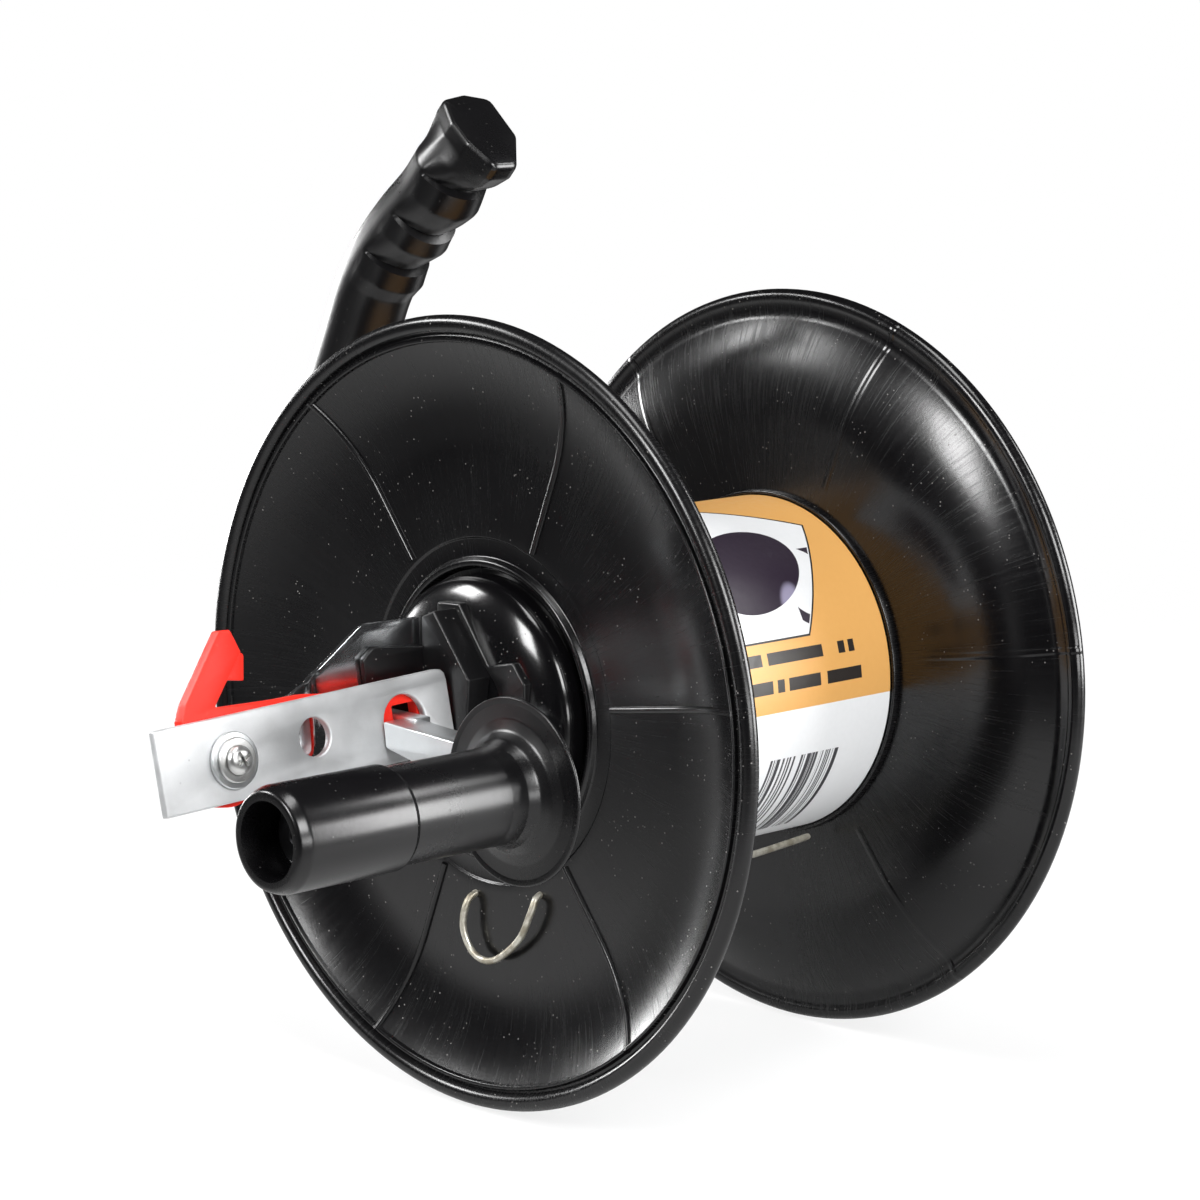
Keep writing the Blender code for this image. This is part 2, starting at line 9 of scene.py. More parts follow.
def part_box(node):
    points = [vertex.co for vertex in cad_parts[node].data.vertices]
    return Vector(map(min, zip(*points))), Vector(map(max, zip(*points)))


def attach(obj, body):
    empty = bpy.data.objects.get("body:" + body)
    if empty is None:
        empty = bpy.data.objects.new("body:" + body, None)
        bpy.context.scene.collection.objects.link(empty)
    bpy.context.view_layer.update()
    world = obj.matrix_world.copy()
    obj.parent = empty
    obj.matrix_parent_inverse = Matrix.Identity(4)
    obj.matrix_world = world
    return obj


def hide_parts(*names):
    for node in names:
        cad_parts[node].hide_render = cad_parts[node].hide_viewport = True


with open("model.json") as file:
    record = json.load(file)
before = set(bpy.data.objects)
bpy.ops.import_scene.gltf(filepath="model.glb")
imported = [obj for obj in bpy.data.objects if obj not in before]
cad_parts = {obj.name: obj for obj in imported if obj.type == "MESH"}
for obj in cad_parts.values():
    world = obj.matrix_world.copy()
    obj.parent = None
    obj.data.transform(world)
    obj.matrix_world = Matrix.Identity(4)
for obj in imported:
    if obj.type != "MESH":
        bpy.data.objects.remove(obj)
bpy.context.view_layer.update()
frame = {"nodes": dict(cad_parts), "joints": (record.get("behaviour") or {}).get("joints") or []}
mm = 0.001
joints = {joint["name"]: joint for joint in frame["joints"]}


def middleOf(node):
    low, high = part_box(node)
    return (low + high) / 2


# the few places that everything else is measured from
midX = middleOf("drum").x
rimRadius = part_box("near_flange")[1].z
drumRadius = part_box("drum")[1].z
knobAt = Vector(joints["knob_spin"]["pos_m"])
pivotAt = Vector(joints["latch_pivot"]["pos_m"])
pivotAxis = Vector(joints["latch_pivot"]["axis"]).normalized()
print("frame loaded")


# shader maths as expressions
class Wire:
    def __init__(self, finish, socket):
        self.finish, self.socket = finish, socket

    def math(self, operation, *others):
        values = dict(enumerate((self, *others)))
        made = self.finish.node("ShaderNodeMath", {"operation": operation}, values)
        return Wire(self.finish, made.outputs[0])

    def __add__(self, other):
        return self.math("ADD", other)

    def __mul__(self, other):
        return self.math("MULTIPLY", other)

    def __sub__(self, other):
        return self.math("SUBTRACT", other)

    def __gt__(self, other):
        return self.math("GREATER_THAN", other)

    def __lt__(self, other):
        return self.math("LESS_THAN", other)

    def __rsub__(self, other):
        return self * -1 + other

    __radd__, __rmul__ = __add__, __mul__

    def within(self, low, high):
        return (self > low) * (self < high)

    def ease(self, low, high, toLow=0.0, toHigh=1.0):
        values = {0: self, 1: low, 2: high, 3: toLow, 4: toHigh}
        made = self.finish.node("ShaderNodeMapRange", {"interpolation_type": "SMOOTHSTEP"}, values)
        return Wire(self.finish, made.outputs[0])


# a Principled material whose inputs take numbers, colours or wires
class Finish:
    def __init__(self, name, **inputs):
        self.material = bpy.data.materials.new(name)
        self.material.use_nodes = True
        self.tree = self.material.node_tree
        self.shader = self.tree.nodes["Principled BSDF"]
        self.put(**inputs)

    def put(self, **inputs):
        for key, value in inputs.items():
            self.plug(self.shader.inputs[key.replace("_", " ")], value)
        return self

    def plug(self, socket, value):
        if isinstance(value, Wire):
            self.tree.links.new(value.socket, socket)
        elif isinstance(value, tuple) and len(value) == 3 and socket.type == "RGBA":
            socket.default_value = (*value, 1)
        else:
            socket.default_value = value

    def node(self, kind, settings, values):
        made = self.tree.nodes.new(kind)
        for key, value in settings.items():
            setattr(made, key, value)
        for key, value in values.items():
            self.plug(made.inputs[key], value)
        return made

    def place(self):
        made = self.node("ShaderNodeTexCoord", {}, {})
        return Wire(self, made.outputs["Object"])

    def axes(self):
        made = self.node("ShaderNodeSeparateXYZ", {}, {0: self.place()})
        return [Wire(self, socket) for socket in made.outputs]

    def vector(self, x, y, z):
        return Wire(self, self.node("ShaderNodeCombineXYZ", {}, {0: x, 1: y, 2: z}).outputs[0])

    def noise(self, scale, detail=3.0, at=None, roughness=0.55):
        values = {"Vector": at or self.place(), "Scale": scale, "Detail": detail, "Roughness": roughness}
        return Wire(self, self.node("ShaderNodeTexNoise", {}, values).outputs["Fac"])

    def cells(self, scale, at=None):
        values = {"Vector": at or self.place(), "Scale": scale}
        return Wire(self, self.node("ShaderNodeTexVoronoi", {}, values).outputs["Distance"])

    def blend(self, factor, first, second):
        made = self.node("ShaderNodeMix", {"data_type": "RGBA"}, {0: factor, 6: first, 7: second})
        return Wire(self, made.outputs[2])

    def bump(self, height, strength, distance):
        values = {"Height": height, "Strength": strength, "Distance": distance}
        return Wire(self, self.node("ShaderNodeBump", {}, values).outputs[0])

    def polar(self):
        # distance from the reel's axis and angle round it, with the seam turned out of the way
        x, y, z = self.axes()
        radius = (y * y + z * z).math("SQRT")
        angle = (z * -0.7 + y * 0.3).math("ARCTAN2", y * 0.7 + z * 0.3)
        return x, radius, angle


def blackPlastic(name, rough=0.34, streaks=0.0, specks=0.5, grain=0.3, bumps=None):
    made = Finish(name, IOR=1.49)
    broad = made.noise(9, 4)
    fine = made.noise(900, 2)
    roughness = broad.ease(0.3, 0.7, rough - 0.05, rough + 0.06) + fine * 0.05
    height = fine * grain
    if streaks:
        x, radius, angle = made.polar()
        lines = made.noise(1, 3, made.vector(angle * 150, radius * 45, x * 20), 0.7)
        roughness = roughness + lines.ease(0.42, 0.75, 0, streaks)
        height = height + lines * streaks
    dust = made.cells(430).ease(0.08, 0.13, 1, 0) * made.noise(90, 2).ease(0.5, 0.6)
    base = made.blend(broad, (0.0018, 0.0017, 0.002), (0.0036, 0.0034, 0.004))
    base = made.blend(dust * specks, base, (0.25, 0.24, 0.23))
    made.put(Base_Color=base, Roughness=roughness + dust * 0.3)
    if bumps is not None:
        height = height + bumps(made)
    return made.put(Normal=made.bump(height, 0.25, 0.0002))


def zincPlate(name, rough, base, mottle=0.12, brushed=0.0):
    made = Finish(name, Metallic=1.0)
    cloud = made.noise(60, 4)
    grain = made.noise(1400, 2)
    x, y, z = made.axes()
    drawn = made.noise(1, 3, made.vector(x * 90, y * 900, z * 900), 0.6)
    pits = made.cells(170).ease(0.03, 0.08, 1, 0) * made.noise(30, 2).ease(0.55, 0.65)
    dark = tuple(c * (1 - mottle * 1.6) for c in base)
    colour = made.blend(cloud.ease(0.3, 0.7), dark, base)
    colour = made.blend(pits * (mottle * 5), colour, tuple(c * 0.4 for c in base))
    roughness = cloud.ease(0.3, 0.7, rough - 0.04, rough + 0.05) + grain * 0.08 + drawn * brushed
    made.put(Base_Color=colour, Roughness=roughness)
    return made.put(Normal=made.bump(grain + drawn * brushed * 6, 0.12, 0.00015))


def redPlastic():
    made = Finish("redNylon", IOR=1.5)
    cloud = made.noise(35, 3)
    scuffs = made.noise(420, 2).ease(0.62, 0.75)
    base = made.blend(cloud, (0.86, 0.022, 0.012), (0.92, 0.034, 0.018))
    base = made.blend(scuffs * 0.12, base, (0.85, 0.2, 0.16))
    made.put(Base_Color=base, Roughness=cloud.ease(0.3, 0.7, 0.36, 0.44), Specular_IOR_Level=0.3)
    return made.put(Normal=made.bump(made.noise(1500, 2), 0.08, 0.0001))


def fenceWire():
    made = Finish("weatheredWire", Metallic=0.75)
    cloud = made.noise(220, 4)
    base = made.blend(cloud.ease(0.35, 0.65), (0.34, 0.31, 0.24), (0.66, 0.64, 0.56))
    made.put(Base_Color=base, Roughness=cloud.ease(0.3, 0.7, 0.5, 0.34))
    return made.put(Normal=made.bump(cloud, 0.4, 0.0003))


def printedLabel():
    # paper round the drum: tan field, outlined white panel with a plain shape, white foot with stripes
    made = Finish("printedLabel", IOR=1.5)
    label = dict(split=-2.4, panelFoot=20.5, outline=0.7, shape=(13, 47), shapeSize=(24, 17),
                 handle=(35, 40), stripes=(6, 46), stripesFrom=-19, stripesTo=-57)
    x, y, z = made.axes()
    across = x * 1000 - midX * 1000
    turnedBy = z.math("ARCTAN2", y * -1) * degrees(1)
    paper = made.noise(500, 3)
    tan_ = made.blend(paper, (0.66, 0.345, 0.10), (0.70, 0.375, 0.115))
    white = made.blend(paper, (0.72, 0.73, 0.74), (0.77, 0.78, 0.79))

    def panel(inset):
        side = (across - (turnedBy - label["panelFoot"]) * 0.64) < 27.4 - inset * 1.2
        top = (turnedBy + across * 0.54) < 92 - inset * 1.2
        return side * top * (turnedBy > label["panelFoot"] + inset)

    def blob(centre, size, lean):
        u, v = across - centre[0], turnedBy - centre[1]
        return ((u + v * lean) * (1 / size[0])).math("POWER", 2) + (v * (1 / size[1])).math("POWER", 2)

    low = (turnedBy < label["split"])
    colour = made.blend(low, tan_, white)
    onTan = 1 - low
    colour = made.blend(panel(0) * onTan, colour, (0.012, 0.012, 0.014))
    colour = made.blend(panel(label["outline"]) * onTan, colour, white)
    body = blob(label["shape"], label["shapeSize"], -0.35)
    sheen = blob((24, 34), (5, 6), -0.4).ease(0.2, 1.2, 1, 0)
    dark = made.blend(sheen, (0.022, 0.014, 0.026), (0.26, 0.24, 0.34))
    inPanel = panel(label["outline"] + 0.4)
    colour = made.blend((body < 1) * inPanel, colour, dark)
    arm = blob(label["handle"], (16, 17), 0)
    armBand = arm.within(0.62, 1) * (across > 26) * (turnedBy < 52) * inPanel
    colour = made.blend(armBand, colour, (0.03, 0.022, 0.035))
    rows = turnedBy.within(13.2, 17.2) + turnedBy.within(4.0, 8.2)
    words = made.noise(1, 0, made.vector(across * 0.21, (turnedBy > 10.5) * 7.3, 2.0)) > 0.42
    letters = rows * words * across.within(-60, 50)
    colour = made.blend(letters, colour, (0.02, 0.016, 0.014))
    bars = made.noise(1, 1, made.vector(across * 0.75, 3.1, 0.4)) > 0.5
    block = across.within(*label["stripes"]) * turnedBy.within(label["stripesTo"], label["stripesFrom"])
    colour = made.blend(bars * block, colour, (0.05, 0.05, 0.055))
    made.put(Base_Color=colour, Roughness=paper.ease(0.3, 0.7, 0.36, 0.46))
    return made.put(Normal=made.bump(paper, 0.05, 0.0001))


ribTurn = 51.6     # degrees: where the first of the six ribs stands


def sinkMarks(made):
    # faint straight marks on the far flange's inner face, opposite its ribs
    x, radius, angle = made.polar()
    x, y, z = made.axes()
    around = z.math("ARCTAN2", y) * degrees(1) - ribTurn
    offset = (around * (1 / 60)).math("PINGPONG", 0.5) * radians(60)
    return (offset * radius).ease(0.0004, 0.0016, 1, 0) * (radius > 0.07) * 3.5


flangePlastic = blackPlastic("flangePlastic", 0.21, 0.07, 0.8)
farPlastic = blackPlastic("farFlangePlastic", 0.2, 0.10, 0.6, 0.3, sinkMarks)
capPlastic = blackPlastic("capPlastic", 0.15, 0, 0.35, 0.1)
knobPlastic = blackPlastic("knobPlastic", 0.24, 0, 0.15, 0.2)
gripPlastic = blackPlastic("gripPlastic", 0.25, 0, 0.15, 0.4)
blockPlastic = blackPlastic("blockPlastic", 0.30, 0, 1.0, 0.5)
armPlastic = blackPlastic("armPlastic", 0.36, 0, 0.3, 0.5)
mattZinc = zincPlate("mattZinc", 0.5, (0.80, 0.81, 0.82), 0.08, 0.1)
brightZinc = zincPlate("brightZinc", 0.12, (0.82, 0.84, 0.86), 0.01, 0.0)
armZinc = zincPlate("armZinc", 0.24, (0.74, 0.76, 0.77), 0.06, 0.1)
screwSteel = zincPlate("screwSteel", 0.28, (0.76, 0.76, 0.75), 0.12)
axleSteel = zincPlate("axleSteel", 0.28, (0.5, 0.5, 0.51), 0.1, 0.2)
blackSteel = zincPlate("blackedSteel", 0.42, (0.03, 0.03, 0.032), 0.1)
bronze = zincPlate("bearingBronze", 0.4, (0.42, 0.25, 0.10), 0.2)
nylon = Finish("washerNylon", Base_Color=(0.72, 0.70, 0.64), Roughness=0.5)
nylon.put(Normal=nylon.bump(nylon.noise(900, 2), 0.1, 0.0001))
redNylon = redPlastic()
wireFinish = fenceWire()
labelPrint = printedLabel()
print("finishes made")


# modelling helpers
def finishPiece(name, work, body, finish, stands=(), sharp=40):
    # turns a bmesh into a named piece that rides on its body and stands for CAD nodes
    bmesh.ops.remove_doubles(work, verts=work.verts, dist=0.000002)
    bmesh.ops.recalc_face_normals(work, faces=work.faces)
    data = bpy.data.meshes.new(name)
    work.to_mesh(data)
    work.free()
    data.shade_smooth()
    data.set_sharp_from_angle(angle=radians(sharp))
    data.materials.append(finish.material)
    piece = bpy.data.objects.new(name, data)
    bpy.context.scene.collection.objects.link(piece)
    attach(piece, body)
    if stands:
        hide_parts(*stands)
    return piece


def softened(points, radius, closed=True, steps=3):
    # the outline with each corner rounded; a third number on a point is that corner's own radius
    made, count = [], len(points)
    for i, spot in enumerate(points):
        own = spot[2] if len(spot) > 2 else radius
        here = Vector(spot[:2])
        if not own or (not closed and i in (0, count - 1)):
            made.append(here)
            continue
        before = Vector(points[i - 1][:2]) - here
        after = Vector(points[(i + 1) % count][:2]) - here
        half = before.angle(after) / 2
        reach = min(own / tan(half) if half > 0.01 else own, before.length * 0.45, after.length * 0.45)
        start, end = here + before.normalized() * reach, here + after.normalized() * reach
        for k in range(steps + 1):
            t = k / steps
            made.append(start * (1 - t) ** 2 + here * (2 * t * (1 - t)) + end * t ** 2)
    return made


def carved(piece, work):
    # cuts a closed shape out of a finished piece
    data = bpy.data.meshes.new("cutter")
    work.to_mesh(data)
    work.free()
    cutter = bpy.data.objects.new("cutter", data)
    bpy.context.scene.collection.objects.link(cutter)
    cut = piece.modifiers.new("cut", "BOOLEAN")
    cut.object, cut.solver = cutter, "EXACT"
    bpy.context.view_layer.update()
    made = bpy.data.meshes.new_from_object(piece.evaluated_get(bpy.context.evaluated_depsgraph_get()))
    piece.modifiers.remove(cut)
    piece.data = made
    bpy.data.objects.remove(cutter)
    return piece


def arcPoints(middle, radius, start, end, count):
    spots = [radians(start + (end - start) * i / (count - 1)) for i in range(count)]
    return [(middle[0] + radius * cos(a), middle[1] + radius * sin(a)) for a in spots]


def spunInto(work, outline, closed=True, steps=160, centre=(0, 0)):
    # spins an outline of (x, radius) round the X line through centre
    verts = [work.verts.new((x, centre[0], centre[1] + r)) for x, r in outline]
    pairs = list(zip(verts, verts[1:])) + ([(verts[-1], verts[0])] if closed else [])
    edges = [work.edges.new(pair) for pair in pairs]
    bmesh.ops.spin(work, geom=verts + edges, cent=(0, *centre), axis=(1, 0, 0), dvec=(0, 0, 0),
                   angle=2 * pi, steps=steps, use_merge=True)
    return work


def flatInto(work, outline, low, high, matrix, holes=(), edge=0.3 * mm):
    # a flat plate with rounded edges, from low to high along the matrix's Z
    curve = bpy.data.curves.new("outline", "CURVE")
    curve.dimensions, curve.fill_mode = "2D", "BOTH"
    curve.bevel_depth, curve.bevel_resolution, curve.offset = edge, 2, -edge
    curve.extrude = (high - low) / 2 - edge
    for points in (outline, *holes):
        spline = curve.splines.new("POLY")
        spline.points.add(len(points) - 1)
        for knot, spot in zip(spline.points, points):
            knot.co = (spot[0], spot[1], 0, 1)
        spline.use_cyclic_u = True
    return curveInto(work, curve, matrix @ Matrix.Translation((0, 0, (low + high) / 2)))


def curveInto(work, curve, matrix):
    holder = bpy.data.objects.new("holder", curve)
    bpy.context.scene.collection.objects.link(holder)
    bpy.context.view_layer.update()
    seen = holder.evaluated_get(bpy.context.evaluated_depsgraph_get())
    data = bpy.data.meshes.new_from_object(seen)
    data.transform(matrix)
    work.from_mesh(data)
    bpy.data.objects.remove(holder)
    return work


def smoothRoute(points, spacing):
    knots = [Vector(spot) for spot in points]
    ends = [2 * knots[0] - knots[1], *knots, 2 * knots[-1] - knots[-2]]
    route = []
    for a, b, c, d in zip(ends, ends[1:], ends[2:], ends[3:]):
        steps = max(1, round((c - b).length / spacing))
        for t in (i / steps for i in range(steps)):
            route.append(0.5 * (2 * b + (c - a) * t + (2 * a - 5 * b + 4 * c - d) * t * t
                                + (3 * b - a - 3 * c + d) * t ** 3))
    return route + [knots[-1]]


def tubeInto(work, route, radius, sides=4):
    curve = bpy.data.curves.new("route", "CURVE")
    curve.dimensions, curve.use_fill_caps = "3D", True
    curve.bevel_depth, curve.bevel_resolution = 1, sides
    spline = curve.splines.new("POLY")
    spline.points.add(len(route) - 1)
    for i, (knot, spot) in enumerate(zip(spline.points, route)):
        knot.co = (*spot, 1)
        knot.radius = radius(i / (len(route) - 1)) if callable(radius) else radius
    return curveInto(work, curve, Matrix())


def boxInto(work, low, high, matrix=Matrix(), edge=0.4 * mm, segments=2):
    size = Vector(high) - Vector(low)
    start = len(work.verts)
    made = bmesh.ops.create_cube(work, size=1, matrix=matrix @ Matrix.Translation((Vector(high) + Vector(low)) / 2)
                                 @ Matrix.Diagonal((*size, 1)))
    edges = list({e for v in made["verts"] for e in v.link_edges})
    if edge:
        bmesh.ops.bevel(work, geom=edges, offset=edge, offset_type="OFFSET", segments=segments, profile=0.5,
                        affect="EDGES", material=-1)
    return work


reelSpace = Matrix.Translation((midX, 0, 0))


# spool
flange = dict(web=69.9 * mm, wall=2.5 * mm, flareFrom=88 * mm, bend=69.4 * mm, flareTo=124.4 * mm,
              bead=3.0 * mm, ribHigh=1.25 * mm, ribs=6, step=58.7 * mm)


def webFace(r):
    if r <= flange["flareFrom"]:
        return flange["web"]
    return flange["web"] + flange["bend"] - sqrt(flange["bend"] ** 2 - (r - flange["flareFrom"]) ** 2)


def flangeOutline(hub):
    # outer face, a thin inner ridge, the groove, the rolled bead, then the inner face
    count = 22
    spots = [flange["flareFrom"] + (flange["flareTo"] - flange["flareFrom"]) * i / count for i in range(count + 1)]
    outer = [(webFace(r), r) for r in spots]
    top, r = outer[-1]
    ridge = softened([(top, r), (top + 1.5 * mm, r + 0.3 * mm), (top + 1.9 * mm, r + 1.5 * mm),
                      (top + 0.3 * mm, r + 2.0 * mm), (top + 0.1 * mm, r + 2.9 * mm)], 0.5 * mm, False, 2)
    rise, across = 80 * mm, rimRadius - flange["bead"]
    bead = [(h, q) for q, h in arcPoints((across, rise), flange["bead"], 140, -130, 18)]
    inner = [(h - flange["wall"], q) for h, q in outer[::-1]]
    sleeve = softened([(67.4 * mm, 56 * mm), (65.5 * mm, 54 * mm), (65.5 * mm, 14 * mm), (50 * mm, 14 * mm),
                       (50 * mm, 9 * mm)], 0.5 * mm, False, 2)
    return [*hub, *outer, *ridge[1:], *bead, *inner, *sleeve]


def ribsInto(work, side):
    for i in range(flange["ribs"]):
        turn = Matrix.Rotation(radians(ribTurn + 60 * i), 4, "X")
        spots = [60.2 * mm + 66 * mm * k / 24 for k in range(25)]
        route = [turn @ Vector((midX + side * (webFace(r) - 0.05 * mm), r, 0)) for r in spots]
        tubeInto(work, route, flange["ribHigh"], 3)
    return work


def makeFlanges():
    web = flange["web"]
    lip = [(68 * mm, 9 * mm), (68 * mm, 48.4 * mm, 0.6 * mm), (71.2 * mm, 49.0 * mm, 0.9 * mm),
           (71.5 * mm, 51.2 * mm, 1.2 * mm), (69.2 * mm, 52.2 * mm, 0.8 * mm), (69.2 * mm, 58.3 * mm, 0.3 * mm),
           (web, 59 * mm, 0.4 * mm), (web, 62 * mm)]
    near = [(midX - h, r) for h, r in flangeOutline(softened(lip, 0.3 * mm, False, 3))]
    work = ribsInto(spunInto(bmesh.new(), near, steps=180), -1)
    finishPiece("nearFlange", work, "spool", flangePlastic, ["near_flange"])
    hub = [(68 * mm, 9 * mm), (68 * mm, 52 * mm), (web, 54 * mm)]
    far = [(midX + h, r) for h, r in flangeOutline(softened(hub, 0.5 * mm, False, 2))]
    work = ribsInto(spunInto(bmesh.new(), far, steps=180), 1)
    collar = softened([(midX + 64.9 * mm, 60.7 * mm), (midX + 64.9 * mm, 62 * mm), (midX + 67.6 * mm, 62.4 * mm),
                       (midX + 67.6 * mm, 60.7 * mm)], 0.5 * mm)
    spunInto(work, collar)
    finishPiece("farFlange", work, "spool", farPlastic, ["far_flange"])


makeFlanges()
print("flanges made")

drumShape = dict(wall=2.5 * mm, end=67.1 * mm, label=60.45 * mm, labelEnd=64.6 * mm)


def makeDrum():
    r, w, end = drumRadius, drumShape["wall"], drumShape["end"]
    ring = [(midX - end, r - w), (midX + end, r - w), (midX + end, r), (midX - end, r)]
    finishPiece("drumTube", spunInto(bmesh.new(), ring), "spool", armPlastic, ["drum"])
    q, end = drumShape["label"], drumShape["labelEnd"]
    sleeve = [(midX - end, r + 0.3 * mm), (midX + end, r + 0.3 * mm), (midX + end, q), (midX - end, q)]
    finishPiece("labelSleeve", spunInto(bmesh.new(), sleeve), "spool", labelPrint,
                ["label_sleeve"])


hubCap = dict(radius=46.3 * mm, base=68.3 * mm, shoulder=74.3 * mm, top=86 * mm, wall=2.5 * mm)


def makeHubCap():
    c = hubCap
    rise = c["top"] - c["shoulder"]
    outer = [(c["shoulder"] + rise * sin(a), c["radius"] * cos(a) ** 0.92) for a in
             (radians(90 * i / 26) for i in range(26))]
    inner = [(c["shoulder"] + (rise - c["wall"]) * sin(a), (c["radius"] - c["wall"]) * cos(a)) for a in
             (radians(90 - 90 * i / 12) for i in range(1, 13))]
    shell = [(c["top"], 0), *outer[::-1], (c["base"], c["radius"]), (c["base"], c["radius"] - c["wall"]),
             *inner[::-1], (c["top"] - c["wall"], 0)]
    finishPiece("hubCap", spunInto(bmesh.new(), [(midX - h, r) for h, r in shell], False), "spool",
                capPlastic, ["hub_cap"])


makeDrum()
makeHubCap()
print("drum, label and cap made")


# crank side: plate, latch and strap share the leaning plane of the latch's pivot
rise = radians(2.3)
leanAxis = Vector((0, -pivotAxis.y, 0))
planeUp = Vector((1, 0, 0)).cross(pivotAxis) * -1
planeX = Vector((cos(rise), 0, 0)) + planeUp * sin(rise)
planeY = pivotAxis.cross(planeX)
latchSpace = Matrix.Translation(pivotAt) @ Matrix((planeX, planeY, pivotAxis)).transposed().to_4x4()

plate = dict(front=10.5, thick=3, left=-28, right=91.6, low=-13, high=14.1, corner=4,
             hole=(33.7, 1.3, 6.25), eye=(71.4, -0.2, 8.75), screwHole=2.6)


def ringPoints(middle, radius, count=48):
    return arcPoints(middle, radius, 0, 360 - 360 / count, count)


def scaled(points):
    return [Vector(spot[:2]) * mm for spot in points]


def makePlate():
    p = plate
    outline = softened([(p["left"], p["low"], 0.6), (p["right"], p["low"], 0.6), (p["right"], p["high"], p["corner"]),
                        (p["left"], p["high"], 0.6)], 0.5)
    holes = [ringPoints((0, 0), p["screwHole"]), ringPoints(p["hole"][:2], p["hole"][2]),
             ringPoints(p["eye"][:2], p["eye"][2])]
    work = flatInto(bmesh.new(), scaled(outline), (p["front"] - p["thick"]) * mm, p["front"] * mm, latchSpace,
                    [scaled(hole) for hole in holes], 0.6 * mm)
    finishPiece("hookPlate", work, "spool", mattZinc, ["hook_plate"])


lever = dict(front=7.2, thick=4.3, hub=14.6, bladeThick=3.0)


def makeLever():
    hub = arcPoints((0, 0), lever["hub"], -75, -180, 14)
    blade = [(-14.3, 14.8, 1), (-11.8, 19.7, 4), (5.6, 40.2, 1.0), (9.7, 39.9, 1.2), (12.6, 32.4, 0.8),
             (-1, 16.9, 0.6), (24, 15.4, 2), (34, 15.2, 6), (60, 11.5, 6), (94.8, 8.5, 1), (96.2, -7.9, 1), (86, -7.9)]
    slot = [(79.6, -5), (79.6, 5.1), (69.4, 5.1), (69.4, -5), (50, -9, 8)]
    outline = softened([*hub, *blade, *slot], 0.8)
    holes = [ringPoints((0, 0), 2.6), ringPoints((38.5, 0.6), 9.3)]
    low = lever["front"] - lever["thick"]
    work = flatInto(bmesh.new(), scaled(outline), low * mm, lever["front"] * mm, latchSpace,
                    [scaled(hole) for hole in holes], 0.35 * mm)
    tab = softened([(12.4, 32.6), (14.9, 31.5, 1.5), (13.2, 23.2), (6.5, 24.5)], 0.5)
    flatInto(work, scaled(tab), (low + 0.2) * mm, (low + 2.6) * mm, latchSpace, (), 0.3 * mm)
    finishPiece("latchLever", work, "latch", redNylon, ["latch_lever"])


makePlate()
makeLever()
print("plate and latch made")

strap = dict(front=7.6, thick=2.0, bendFrom=-137.3, bendTo=-148, edge=0.45)


def makeStrap():
    # a sprung strip: flat beside the block, joggled forward behind the lever
    stations = [(-93.4, 8, 34), (-101, 8, 34.1), (-109, 8, 34.2), (-117.3, 8, 34.5), (-120, 7.6, 33.2), (-125, 6.2, 29.8), (-131, 4.6, 25.6), (-136, 2.6, 22.2),
                (-139, 1.2, 20.9), (-142, -0.2, 20.3), (-146, -2, 19.8), (-149, -3.4, 19.2), (-154, -5.4, 17.2),
                (-162, -7.6, 14.4), (-176, -9.5, 10.5)]
    pivot = (pivotAt.x - midX) / mm
    stations += [(pivot - 10 * cos(a), -10 * sin(a), 10 * sin(a)) for a in (radians(d) for d in (100, 80, 60, 45, 30, 15))]
    lean = asin(pivotAxis.z)
    behind = 2.6
    work = bmesh.new()
    rows = []
    for x, low, high in stations:
        t = min(1, max(0, (strap["bendFrom"] - x) / (strap["bendFrom"] - strap["bendTo"])))
        t = t * t * (3 - 2 * t)
        row = []
        for k in range(9):
            z = low + (high - low) * k / 8
            level = (z * sin(lean) - behind) / cos(lean)
            wave = 0.9 * sin(pi * k / 8) * max(0, 1 - abs(x + 142) / 8)
            row.append(work.verts.new((midX + x * mm, (strap["front"] + (level - strap["front"]) * t - wave) * mm,
                                       z * mm)))
        rows.append(row)
    for a, b in zip(rows, rows[1:]):
        for i in range(8):
            work.faces.new((a[i], a[i + 1], b[i + 1], b[i]))
    piece = finishPiece("rearStrap", work, "spool", brightZinc, ["rear_strap"], 50)
    wall = piece.modifiers.new("wall", "SOLIDIFY")
    wall.thickness, wall.offset = strap["thick"] * mm, -1
    edge = piece.modifiers.new("edge", "BEVEL")
    edge.width, edge.segments, edge.limit_method, edge.angle_limit = strap["edge"] * mm, 2, "ANGLE", radians(50)


makeStrap()

screw = dict(head=4.7, rise=2.6, shank=2.1, washer=9, washerThick=1.3, lock=7.2, lockThick=1.0, slot=2.9, slotWide=0.6, slotTurn=28)


def turnedOnPivot(name, outline, finish, stands, closed=True, cut=None):
    work = spunInto(bmesh.new(), [(x * mm, r * mm) for x, r in outline], closed, 72)
    if cut:
        cut(work)
    work.transform(latchSpace @ Matrix.Rotation(-pi / 2, 4, "Y"))
    return finishPiece(name, work, "spool", finish, stands)


